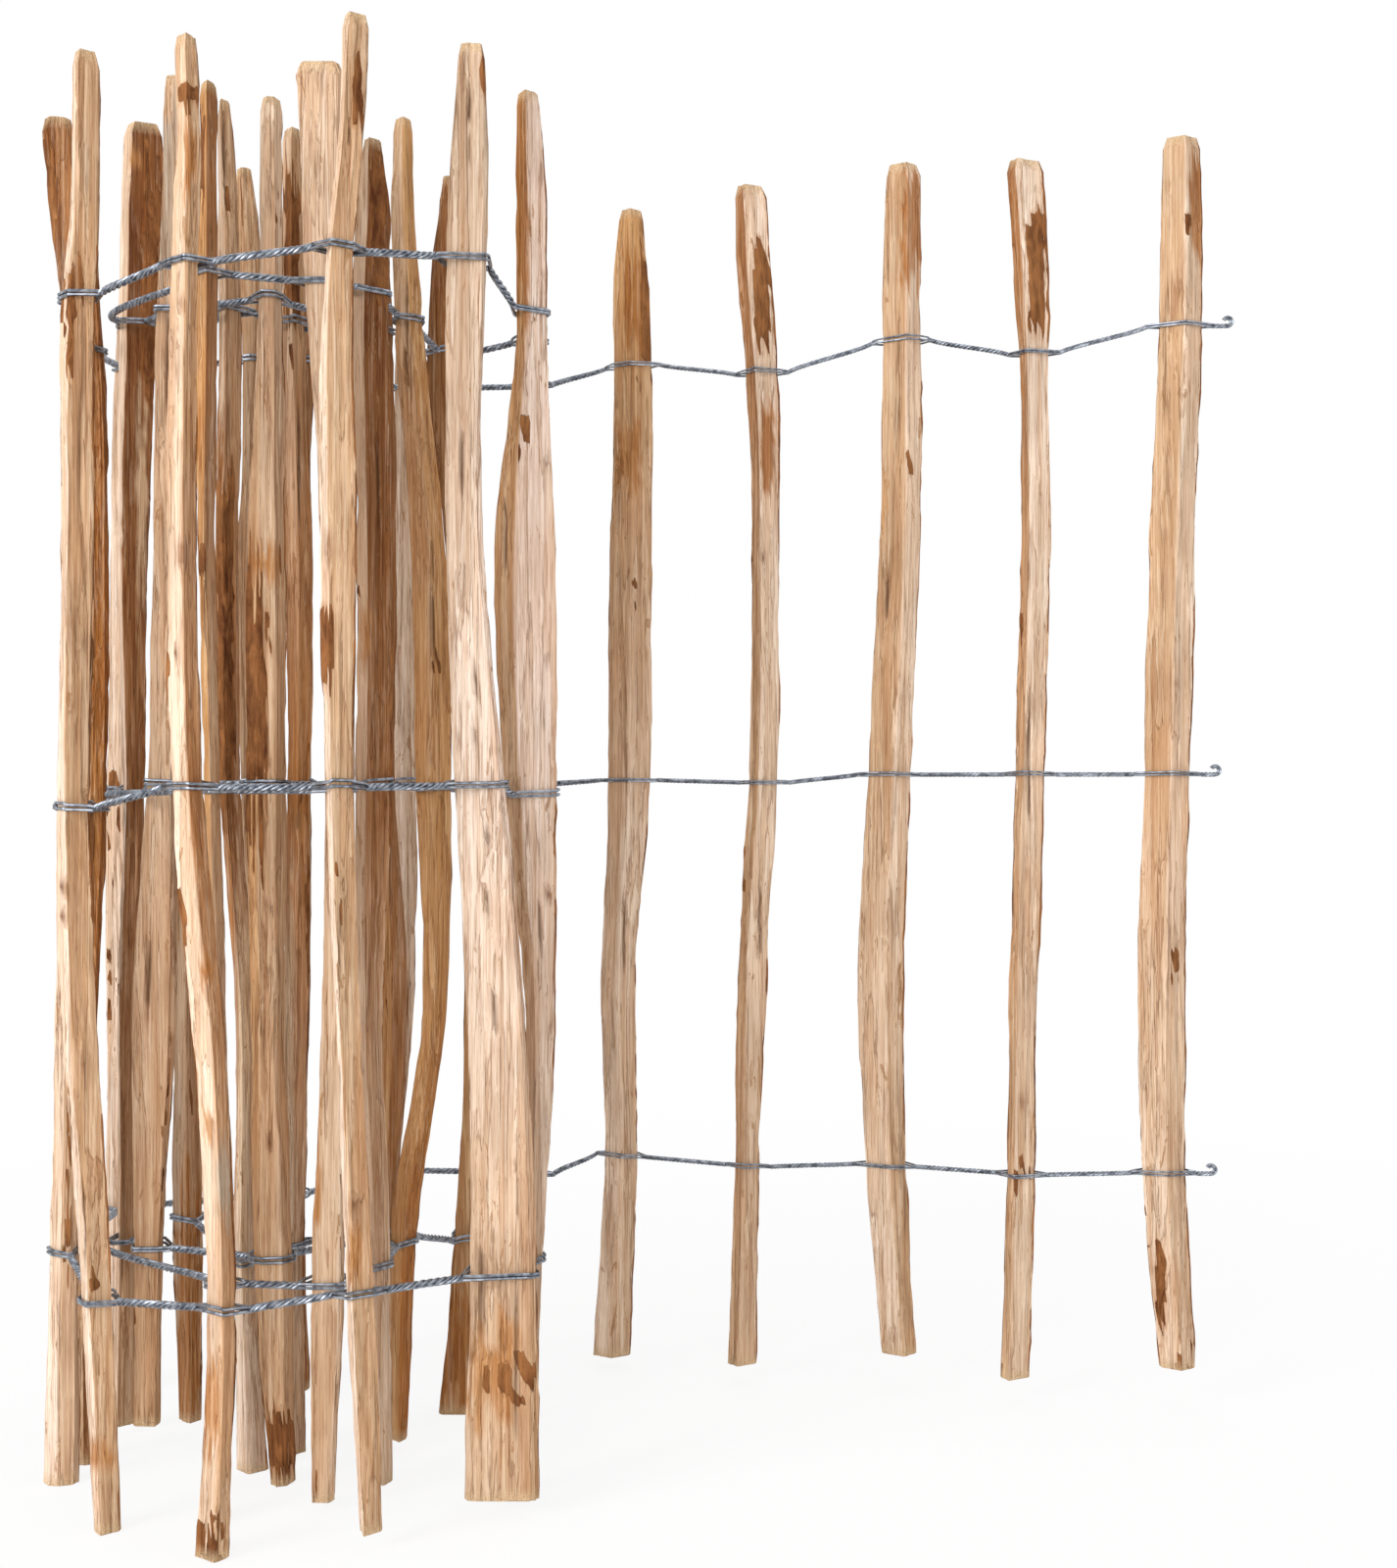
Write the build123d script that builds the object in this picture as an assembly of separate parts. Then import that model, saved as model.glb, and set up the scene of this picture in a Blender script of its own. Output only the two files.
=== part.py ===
from build123d import *
import math
import os

# Split stake fence, rolled up at one end, standing on its stakes. Millimetres, +Z up, front towards -Y.

# Stakes
stake_length = 905.0
head_chamfer = 9.0
head_taper = 0.78
ridge_depth = 17.0
plank_depth = 13.5
half_depth = 14.0
round_depth = 18.0

# Wire rows: two at a height above the ground, and the top one at a distance below the heads
bottom_row = 146.0
middle_row = 457.0
top_row_below_heads = 130.0

# Galvanised strands: two pass in front of a stake and two behind it, and all four twist together between
strand_diameter = 2.0
strand_gap = 0.2
wire_clearance = 0.55
tip_reach = 6.0
rope_width = 4.2
twist_pitch = 176.0
bend_share = 0.2
tail_length = 16.0

top_row = stake_length - top_row_below_heads
pair_height = 2 * strand_diameter + strand_gap
turns_per_step = 1 / 8


# Split sections seen from above, in half widths across and half depths deep, front at -1

def ridge_section(ridge):
    return [(-1, 0.05), (ridge, -1), (1, -0.05), (0.75, 0.75), (-0.1, 1), (-0.8, 0.7)]


def plank_section(ridge):
    return [(-1, -0.5), (-0.86, -0.95), (0.8, -1), (1, -0.4), (0.85, 0.85), (-0.9, 0.9)]


def half_section(ridge):
    return [(-1, -0.1), (-0.6, -0.85), (ridge, -1), (0.85, -0.6), (1, 0.1), (0, 1)]


def round_section(ridge):
    return [(-0.95, -0.45), (-0.3, -1), (0.6, -0.85), (1, 0.1), (0.35, 1), (-0.75, 0.75)]


FORMS = {
    "ridge": (ridge_section, ridge_depth),
    "plank": (plank_section, plank_depth),
    "half": (half_section, half_depth),
    "round": (round_section, round_depth),
}


class Stake:
    """One split stake. Its left and right edges are given at the foot, bottom row, lower bay,
    middle row, upper bay, top row, below the head and at the head."""

    def __init__(self, name, form, y, left, right, foot=0.0, extra=0.0, rise=(0, 0, 0), ridge=0.0,
                 heading_in=None, heading_out=None):
        self.name = name
        self.outline, self.depth = FORMS[form]
        self.ridge = ridge
        self.heading_in = heading_in
        self.heading_out = heading_out
        self.rows = [bottom_row + rise[0], middle_row + rise[1], top_row + rise[2]]
        head = foot + stake_length + extra
        low, middle, high = self.rows
        heights = [foot, low, (low + middle) / 2, middle, (middle + high) / 2, high, (high + head) / 2, head]
        self.y_foot, self.y_head = y
        self.foot = foot
        self.head = head
        self.stations = list(zip(heights, left, right))

    def edges(self, height):
        for (z0, left0, right0), (z1, left1, right1) in zip(self.stations, self.stations[1:]):
            if height <= z1:
                share = (height - z0) / (z1 - z0)
                return left0 + (left1 - left0) * share, right0 + (right1 - right0) * share
        return self.stations[-1][1:]

    def centre(self, height):
        left, right = self.edges(height)
        share = (height - self.foot) / (self.head - self.foot)
        return (left + right) / 2, self.y_foot + (self.y_head - self.y_foot) * share

    def section(self, height, scale=1.0):
        left, right = self.edges(height)
        x, y = self.centre(height)
        half_width = (right - left) / 2 * scale
        half_depth_here = self.depth / 2 * scale
        return [(x + a * half_width, y + b * half_depth_here) for a, b in self.outline(self.ridge)]

    def solid(self):
        heights = [z for z, left, right in self.stations[:-1]] + [self.head - head_chamfer]
        rings = [[(x, y, z) for x, y in self.section(z)] for z in heights]
        rings.append([(x, y, self.head) for x, y in self.section(self.head, head_taper)])
        return skinned(rings)


# The stakes in order along the wires, from the free end of the run to the heart of the roll

stakes = [
    Stake("stake_01", "ridge", (62, 62), (373, 360, 357, 361, 365, 372, 373, 386),
          (398, 391, 391, 394, 398, 403, 403, 400), foot=30, extra=-5, rise=(26, 7, 17), ridge=0.1),
    Stake("stake_02", "ridge", (74, 74), (258, 263, 265, 269, 273, 272, 267, 262),
          (279, 283, 286, 290, 294, 293, 293, 288), foot=19, extra=-7, rise=(23, 7, 0), ridge=-0.6),
    Stake("stake_03", "ridge", (109, 109), (174, 162, 156, 163, 171, 175, 175, 178),
          (200, 192, 190, 195, 203, 203, 204, 202), foot=26, extra=-5, rise=(23, 7, 16), ridge=0.2),
    Stake("stake_04", "ridge", (123, 123), (58, 63, 65, 74, 76, 71, 65, 62),
          (79, 82, 87, 96, 97, 95, 91, 86), foot=14, extra=-5, rise=(19, 1, -4), ridge=-0.4),
    Stake("stake_05", "ridge", (160, 160), (-47, -39, -41, -36, -35, -32, -32, -27),
          (-19, -13, -14, -3, -2, -2, -5, -10), foot=9, extra=-7, rise=(20, 3, 9), ridge=0.0),
    Stake("stake_06", "half", (190, 190), (-112, -102, -101, -104, -105, -106, -106, -107),
          (-97, -88, -84, -87, -88, -89, -90, -91)),
    Stake("stake_07", "half", (200, 200), (-228, -223, -212, -210, -212, -210, -209, -209),
          (-212, -206, -194, -192, -193, -193, -193, -194)),
    Stake("stake_08", "half", (107, 107), (-272, -275, -273, -272, -273, -270, -267, -265),
          (-259, -262, -259, -258, -258, -256, -254, -252)),
    Stake("stake_09", "half", (100, 100), (-303, -305, -306, -309, -311, -308, -312, -312),
          (-290, -290, -291, -294, -297, -292, -293, -302), foot=14),
    Stake("stake_10", "plank", (100, 100), (-408, -409, -409, -409, -406, -403, -399, -396),
          (-387, -387, -388, -388, -386, -383, -381, -380), extra=-6, rise=(-6, -4, -8)),
    Stake("stake_11", "half", (-45, 30), (-384, -390, -395, -394, -397, -404, -410, -411),
          (-370, -374, -378, -376, -379, -386, -392, -396), extra=-8, rise=(3, -18, -12)),
    Stake("stake_12", "half", (-82, -82), (-393, -389, -386, -385, -382, -382, -389, -395),
          (-371, -370, -367, -365, -362, -364, -371, -378), extra=-13, rise=(6, -14, -3)),
    Stake("stake_13", "ridge", (-161, -161), (-335, -343, -354, -357, -356, -355, -349, -344),
          (-319, -324, -332, -338, -336, -334, -332, -336), rise=(-4, -15, -20), ridge=-0.2),
    Stake("stake_14", "ridge", (-200, -200), (-262, -256, -264, -277, -279, -277, -274, -271),
          (-243, -239, -244, -258, -262, -261, -260, -264), extra=-6, rise=(0, -2, -9), ridge=0.4),
    Stake("stake_15", "ridge", (-189, -189), (-167, -175, -181, -187, -191, -187, -180, -173),
          (-154, -159, -167, -171, -169, -171, -165, -164), foot=11, rise=(7, -2, 2), ridge=-0.4),
    Stake("stake_16", "plank", (-139, -139), (-111, -107, -109, -117, -122, -122, -119, -113),
          (-64, -66, -72, -85, -100, -97, -96, -101), foot=12, rise=(7, -1, 8)),
    Stake("stake_17", "ridge", (-94, -94), (-85, -79, -76, -91, -97, -83, -84, -81),
          (-70, -66, -58, -57, -58, -63, -64, -71), rise=(3, -7, -12), ridge=-0.3),
    Stake("stake_18", "half", (40, 40), (-101, -92, -88, -89, -91, -92, -93, -94),
          (-86, -78, -72, -72, -73, -75, -77, -79)),
    Stake("stake_19", "plank", (55, 55), (-153, -142, -135, -138, -147, -162, -158, -149),
          (-131, -127, -117, -120, -128, -138, -139, -144), extra=-7, rise=(-18, -4, -6)),
    Stake("stake_20", "ridge", (-23, -23), (-177, -177, -154, -159, -162, -173, -175, -172),
          (-165, -159, -138, -135, -138, -155, -160, -163), foot=8, rise=(-2, -3, -1), ridge=0.3),
    Stake("stake_21", "ridge", (-80, -80), (-174, -179, -188, -190, -189, -192, -189, -185),
          (-166, -167, -172, -167, -167, -168, -167, -173), extra=-26, rise=(-4, 0, 4), ridge=-0.2),
    Stake("stake_22", "plank", (-126, -126), (-209, -208, -202, -200, -202, -213, -215, -218),
          (-195, -188, -188, -182, -186, -189, -189, -191), foot=6, rise=(-4, -4, -2)),
    Stake("stake_23", "ridge", (-145, -145), (-273, -270, -270, -272, -276, -277, -275, -274),
          (-257, -255, -258, -262, -266, -263, -264, -265), extra=-13, rise=(0, -4, -1), ridge=0.3),
    Stake("stake_24", "ridge", (10, 0), (-375, -373, -373, -368, -372, -370, -369, -363),
          (-362, -360, -360, -354, -351, -343, -338, -341), foot=7, extra=6, rise=(-7, -8, 2), ridge=-0.4,
          heading_in=240),
    Stake("stake_25", "plank", (-45, -50), (-344, -344, -345, -335, -331, -328, -324, -322),
          (-328, -326, -317, -317, -315, -313, -311, -313), foot=26),
    Stake("stake_26", "round", (-81, -81), (-244, -256, -257, -261, -260, -253, -251, -251),
          (-230, -231, -236, -235, -236, -238, -238, -238)),
    Stake("stake_27", "half", (10, 10), (-192, -191, -188, -192, -192, -197, -198, -199),
          (-178, -178, -170, -178, -178, -180, -184, -188), rise=(-1, -2, -1), heading_in=-70),
    Stake("stake_28", "ridge", (-26, -26), (-250, -253, -250, -247, -248, -251, -250, -249),
          (-235, -235, -232, -231, -229, -235, -236, -237), rise=(-3, -2, -4), ridge=0.2),
    Stake("stake_29", "ridge", (-60, -40), (-273, -275, -276, -287, -291, -289, -290, -291),
          (-252, -261, -262, -273, -275, -274, -277, -283), extra=14, rise=(-9, -3, 2)),
    Stake("stake_30", "ridge", (38, 38), (-338, -343, -341, -341, -341, -340, -340, -339),
          (-322, -322, -324, -325, -327, -326, -326, -325), ridge=0.2, heading_out=100),
]


# Plan geometry of the strands round a stake

def cross(o, a, b):
    return (a[0] - o[0]) * (b[1] - o[1]) - (a[1] - o[1]) * (b[0] - o[0])


def hull(points):
    points = sorted(set(points))
    chains = []
    for ordered in (points, points[::-1]):
        chain = []
        for point in ordered:
            while len(chain) > 1 and cross(chain[-2], chain[-1], point) <= 1e-9:
                chain.pop()
            chain.append(point)
        chains += chain[:-1]
    return chains


def offset_outline(points, distance):
    """A convex outline, given anticlockwise, with every side moved outwards."""
    moved = []
    for a, b in zip(points, points[1:] + points[:1]):
        run = math.dist(a, b)
        normal = ((b[1] - a[1]) / run * distance, (a[0] - b[0]) / run * distance)
        moved.append(((a[0] + normal[0], a[1] + normal[1]), ((b[0] - a[0]) / run, (b[1] - a[1]) / run)))
    corners = []
    for (p, u), (q, v) in zip(moved[-1:] + moved[:-1], moved):
        turn = u[0] * v[1] - u[1] * v[0]
        reach = ((q[0] - p[0]) * v[1] - (q[1] - p[1]) * v[0]) / turn
        corners.append((p[0] + u[0] * reach, p[1] + u[1] * reach))
    return corners


def unit(angle):
    return math.cos(math.radians(angle)), math.sin(math.radians(angle))


def heading(start, end):
    return math.degrees(math.atan2(end[1] - start[1], end[0] - start[0]))


class Loop:
    """The strands of one row where they part round one stake, closing to a flat tip at each side."""

    def __init__(self, stake, row, angle_in, angle_out):
        self.height = stake.rows[row]
        self.inside = offset_outline(hull(stake.section(self.height)), wire_clearance)
        around = offset_outline(self.inside, strand_diameter)
        centre = stake.centre(self.height)
        self.tip_in, corners_in = self.tip(around, centre, angle_in)
        self.tip_out, corners_out = self.tip(around, centre, angle_out)
        self.angle_in = angle_in
        self.angle_out = angle_out
        self.outside = hull(around + corners_in + corners_out)

    def tip(self, around, centre, angle):
        ahead = unit(angle)
        reach = max((x - centre[0]) * ahead[0] + (y - centre[1]) * ahead[1] for x, y in around) + tip_reach
        point = (centre[0] + ahead[0] * reach, centre[1] + ahead[1] * reach)
        side = (-ahead[1] * rope_width / 2, ahead[0] * rope_width / 2)
        return point, [(point[0] + side[0], point[1] + side[1]), (point[0] - side[0], point[1] - side[1])]

    def solid(self):
        low = self.height - pair_height / 2
        outer = Wire.make_polygon([(x, y, low) for x, y in self.outside], close=True)
        inner = Wire.make_polygon([(x, y, low) for x, y in self.inside], close=True)
        return Solid.extrude(Face(outer, [inner]), Vector(0, 0, pair_height))


def bend(start, end, angle_start, angle_end, share):
    """A point on the rope's gentle bend, leaving and arriving along the two headings, and its heading."""
    handle = math.dist(start, end) * bend_share
    out, back = unit(angle_start), unit(angle_end)
    route = [start, (start[0] + out[0] * handle, start[1] + out[1] * handle, start[2]),
             (end[0] - back[0] * handle, end[1] - back[1] * handle, end[2]), end]
    rest = 1 - share
    weights = (rest ** 3, 3 * rest ** 2 * share, 3 * rest * share ** 2, share ** 3)
    slopes = (-rest ** 2, rest ** 2 - 2 * rest * share, 2 * rest * share - share ** 2, share ** 2)
    point = [sum(w * p[axis] for w, p in zip(weights, route)) for axis in range(3)]
    ahead = [sum(w * p[axis] for w, p in zip(slopes, route)) for axis in range(2)]
    length = math.hypot(*ahead)
    return point, (ahead[0] / length, ahead[1] / length)


def twisted_rope(start, end, angle_start, angle_end):
    """All four strands twisted into one square bar, with flat ends on the two tips."""
    steps = max(1, round(math.dist(start, end) / (twist_pitch * turns_per_step)))
    corner_reach = rope_width / math.sqrt(2)
    rings = []
    for step in range(steps + 1):
        centre, ahead = bend(start, end, angle_start, angle_end, step / steps)
        ring = []
        for corner in range(4):
            roll = math.radians(45 + 90 * corner + 360 * turns_per_step * step)
            across = corner_reach * math.cos(roll)
            ring.append((centre[0] - ahead[1] * across, centre[1] + ahead[0] * across,
                         centre[2] + corner_reach * math.sin(roll)))
        rings.append(ring)
    return skinned(rings)


def flat_face(points):
    return Face(Wire.make_polygon(points, close=True))


def skinned(rings):
    """A solid of flat facets from ring to ring, with as many corners in each, closed by its first and last."""
    faces = [flat_face(rings[0]), flat_face(rings[-1])]
    for near, far in zip(rings, rings[1:]):
        for corner in range(len(near)):
            following = (corner + 1) % len(near)
            faces.append(flat_face([near[corner], near[following], far[corner]]))
            faces.append(flat_face([near[following], far[following], far[corner]]))
    return Solid(Shell(faces))


def row_solids(row):
    """One wire row: a loop round every stake, a twisted rope in every gap and a tail at both ends."""
    centres = [stake.centre(stake.rows[row]) for stake in stakes]
    loops = []
    for place, stake in enumerate(stakes):
        before = heading(centres[place], centres[place - 1]) if place else 0.0
        after = heading(centres[place], centres[place + 1]) if place + 1 < len(stakes) else 180.0
        angle_in = before if stake.heading_in is None else stake.heading_in
        angle_out = after if stake.heading_out is None else stake.heading_out
        loops.append(Loop(stake, row, angle_in, angle_out))
    solids = [loop.solid() for loop in loops]
    for near, far in zip(loops, loops[1:]):
        start = (*near.tip_out, near.height)
        end = (*far.tip_in, far.height)
        solids.append(twisted_rope(start, end, near.angle_out, far.angle_in + 180))
    for loop, tip, angle in ((loops[0], loops[0].tip_in, loops[0].angle_in),
                             (loops[-1], loops[-1].tip_out, loops[-1].angle_out)):
        ahead = unit(angle)
        end = (tip[0] + ahead[0] * tail_length, tip[1] + ahead[1] * tail_length, loop.height)
        solids.append(twisted_rope((*tip, loop.height), end, angle, angle))
    return solids


nodes = {stake.name: [stake.solid()] for stake in stakes}
for row, name in enumerate(("wire_row_bottom", "wire_row_middle", "wire_row_top")):
    nodes[name] = row_solids(row)

# The origin is the middle of the outline on the ground
boxes = [solid.bounding_box() for solids in nodes.values() for solid in solids]
middle_x = (min(box.min.X for box in boxes) + max(box.max.X for box in boxes)) / 2
middle_y = (min(box.min.Y for box in boxes) + max(box.max.Y for box in boxes)) / 2
to_origin = Location((-middle_x, -middle_y, -min(box.min.Z for box in boxes)))

os.makedirs("parts", exist_ok=True)
for name, solids in nodes.items():
    export_step(Compound([solid.moved(to_origin) for solid in solids]), f"parts/{name}.step")
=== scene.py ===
import math
from collections import namedtuple

import bmesh
import bpy
import numpy as np
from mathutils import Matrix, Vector


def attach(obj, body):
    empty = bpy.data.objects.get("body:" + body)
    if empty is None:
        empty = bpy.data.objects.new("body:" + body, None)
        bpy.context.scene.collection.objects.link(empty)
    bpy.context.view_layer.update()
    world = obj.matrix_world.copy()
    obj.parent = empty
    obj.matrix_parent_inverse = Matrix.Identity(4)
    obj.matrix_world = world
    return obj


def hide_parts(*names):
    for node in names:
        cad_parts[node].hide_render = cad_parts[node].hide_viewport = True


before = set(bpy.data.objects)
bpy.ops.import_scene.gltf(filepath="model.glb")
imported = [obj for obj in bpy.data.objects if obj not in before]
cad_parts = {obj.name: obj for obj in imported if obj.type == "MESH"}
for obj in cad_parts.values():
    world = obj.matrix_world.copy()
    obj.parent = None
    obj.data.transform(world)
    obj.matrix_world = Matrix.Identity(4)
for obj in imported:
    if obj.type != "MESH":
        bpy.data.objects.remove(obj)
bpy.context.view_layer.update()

# Rolled split stake fence: thirty split stakes on three rows of four galvanised strands. Metres, +Z up.

STAKE_NAMES = sorted(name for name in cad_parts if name.startswith("stake"))
ROW_NAMES = ("wire_row_bottom", "wire_row_middle", "wire_row_top")

# The photograph: its size, the distance of its picture plane in pixels, and where the camera stands
PHOTO_WIDTH = 1426
PHOTO_HEIGHT = 1600
FOCAL_PIXELS = 1900.0
EYE = (0.026576, -1.298989, 0.457)

# Stakes
CORNERS = 6
FACE_COLUMNS = 8
COLUMNS = CORNERS * FACE_COLUMNS
STAKE_ROWS = 200
HEAD_CHAMFER = 0.009
HEAD_TAPER = 0.78
ARRIS_WANDER = 0.0012
FIBRE_DEPTH = 0.00042
CHIP_DEPTH = 0.0009
BARK_THICKNESS = 0.0008
CRACK_DEPTH = 0.0022
KNOT_HEIGHT = 0.0016
NOTCH_DEPTH = 0.0022
TORN_HEIGHT = 0.0011
TORN_DEPTH = 0.0006
END_RAGGEDNESS = 0.0012
END_DISH = 0.0006
SPLITS = 3
LONGEST_SPLIT = 0.22
THINNEST_MARK = 1.6
WIRE_ZONE = 0.010
WIRE_BARE = 0.003
ROW_STATIONS = (1, 3, 5)
SAME_LEVEL = 0.0005

# Wires
STRAND_RADIUS = 0.001
WIRE_CLEARANCE = 0.00055
PAIR_HALF_HEIGHT = 0.0011
ROPE_HALF_WIDTH = 0.00105
TIP_REACH = 0.006
ROPE_TURN = 0.016
BEND_SHARE = 0.2
TAIL_LENGTH = 0.0105
HOOK_RADIUS = 0.0030
HOOK_TURN = 240
HOOK_STEP = 20
POINT_STEP = 0.0014
RUN_STAKES = 5
RUN_THICKNESS = 0.72
LOWEST_RISE = -0.0015
HIGHEST_RISE = 0.0035
LOWER_STRAND_RISE = 0.55

# Headings, in degrees, where the wires meet or leave a stake other than straight from its neighbour
HEADING_IN = {"stake_24": 240.0, "stake_27": -70.0}
HEADING_OUT = {"stake_30": 100.0}

# Studio
FLOOR_SIZE = 14
FLOOR_WHITE = 0.86
FLOOR_FADE = 0.4
WORLD_LIGHT = 0.55
AIM = (0.0, 0.0, 0.45)
SENSOR_WIDTH = 36.0


def linear(red, green, blue):
    """A colour as it looks on a screen, 0 to 255, as light."""
    return tuple(((c / 255 + 0.055) / 1.055) ** 2.4 for c in (red, green, blue))


# Split wood by the names that the faces below use, for the wood's own colour and for painted light and shade
TONES = {
    "sapwood": linear(238, 218, 199),
    "cream": linear(230, 207, 184),
    "pink": linear(232, 211, 196),
    "beige": linear(218, 191, 164),
    "tan": linear(206, 173, 139),
    "golden": linear(208, 164, 114),
    "orange": linear(190, 132, 76),
    "brown": linear(170, 122, 80),
    "dark": linear(130, 85, 50),
    "grey": linear(200, 176, 152),
    "ash": linear(228, 213, 198),
}
INNER_BARK = linear(178, 120, 62)
MARK_TONES = {
    "bark": INNER_BARK,
    "orange": INNER_BARK,
    # Cracks take a darker tone: painted shade inside the split
    "crack": linear(120, 78, 46),
    "knot": linear(134, 84, 46),
    "torn": linear(190, 136, 82),
    # The notch tone is painted shade in the step of the notch
    "notch": linear(196, 150, 100),
    "pale": linear(230, 206, 174),
    "grey": linear(190, 180, 166),
}

# Colours that the grain multiplies the wood by, or covers it with
FIBRE_SHADE = (0.58, 0.43, 0.31)
PALE_FIBRE = (0.90, 0.80, 0.68)
HAIR_SHADE = (0.50, 0.36, 0.26)
STREAK_SHADE = (0.64, 0.47, 0.34)
PALE_STREAK = (0.88, 0.78, 0.66)
FLAKE_SHADE = (0.80, 0.68, 0.56)
TORN_SHADE = (0.46, 0.29, 0.17)
CLOUD_SHADE = (0.76, 0.58, 0.43)
SPECK = (0.26, 0.14, 0.07)
FLECK = (0.33, 0.165, 0.07)
DARK_BARK = (0.095, 0.030, 0.009)
LIGHT_BARK = (0.31, 0.125, 0.042)
GOLDEN_BARK = (0.43, 0.20, 0.075)
DARK_END = (0.30, 0.17, 0.085)
PALE_END = (0.62, 0.45, 0.27)
# Painted shade inside cracks and torn crevices, and also the dark centres of knots
CRACK_SHADE = (0.10, 0.05, 0.025)
DULL_ZINC = (0.10, 0.112, 0.138)
BRIGHT_ZINC = (0.37, 0.40, 0.45)

# Tones of each stake's left and right front faces, at the foot, the middle and the head, with painted light
# and shade in them
# The face that the light falls on is painted lighter, the face turned from it darker, and the stakes inside
# the roll darker still, over the wood's own colour
FACE_TONES_AND_PAINTED_LIGHT = {
    "stake_01": (("cream", "tan", "tan"), ("beige", "cream", "cream")),
    "stake_02": (("tan", "tan", "brown"), ("beige", "cream", "sapwood")),
    "stake_03": (("cream", "tan", "tan"), ("tan", "cream", "sapwood")),
    "stake_04": (("tan", "tan", "brown"), ("beige", "cream", "sapwood")),
    "stake_05": (("cream", "beige", "golden"), ("beige", "cream", "golden")),
    "stake_06": (("cream", "tan", "tan"), ("tan", "tan", "brown")),
    "stake_07": (("sapwood", "sapwood", "cream"), ("cream", "cream", "beige")),
    "stake_08": (("tan", "tan", "brown"), ("brown", "tan", "brown")),
    "stake_09": (("beige", "tan", "tan"), ("tan", "brown", "tan")),
    "stake_10": (("sapwood", "sapwood", "sapwood"), ("sapwood", "cream", "cream")),
    "stake_11": (("tan", "orange", "golden"), ("brown", "orange", "brown")),
    "stake_12": (("sapwood", "cream", "dark"), ("beige", "tan", "brown")),
    "stake_13": (("sapwood", "sapwood", "cream"), ("tan", "tan", "tan")),
    "stake_14": (("cream", "cream", "beige"), ("tan", "brown", "tan")),
    "stake_15": (("sapwood", "sapwood", "cream"), ("tan", "tan", "tan")),
    "stake_16": (("beige", "ash", "grey"), ("tan", "pink", "grey")),
    "stake_17": (("cream", "tan", "golden"), ("beige", "pink", "pink")),
    "stake_18": (("tan", "tan", "tan"), ("brown", "tan", "brown")),
    "stake_19": (("golden", "golden", "brown"), ("tan", "golden", "brown")),
    "stake_20": (("golden", "golden", "tan"), ("orange", "golden", "golden")),
    "stake_21": (("cream", "beige", "beige"), ("beige", "brown", "dark")),
    "stake_22": (("tan", "beige", "cream"), ("beige", "beige", "beige")),
    "stake_23": (("cream", "golden", "golden"), ("sapwood", "tan", "brown")),
    "stake_24": (("beige", "sapwood", "cream"), ("tan", "brown", "dark")),
    "stake_25": (("tan", "beige", "beige"), ("tan", "beige", "tan")),
    "stake_26": (("tan", "golden", "grey"), ("tan", "tan", "beige")),
    "stake_27": (("golden", "golden", "tan"), ("brown", "brown", "brown")),
    "stake_28": (("sapwood", "orange", "beige"), ("beige", "orange", "tan")),
    # The brown middle of stake_29 is painted shade inside the roll
    "stake_29": (("sapwood", "brown", "grey"), ("cream", "brown", "tan")),
    "stake_30": (("beige", "tan", "brown"), ("tan", "brown", "brown")),
}

# Heads that the photograph shows wider than the solid, by the pixels of their edges
Edges = namedtuple("Edges", "left right")
HEAD_EDGES = {
    "stake_01": Edges(1187, 1223),
    "stake_12": Edges(42, 73),
    "stake_13": Edges(75, 101),
    "stake_14": Edges(181, 200),
    "stake_15": Edges(350, 377),
    "stake_16": Edges(468, 495),
    "stake_17": Edges(529, 550),
    "stake_20": Edges(401, 421),
    "stake_22": Edges(302, 351),
    "stake_24": Edges(128, 166),
    "stake_25": Edges(170, 186),
}

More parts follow.
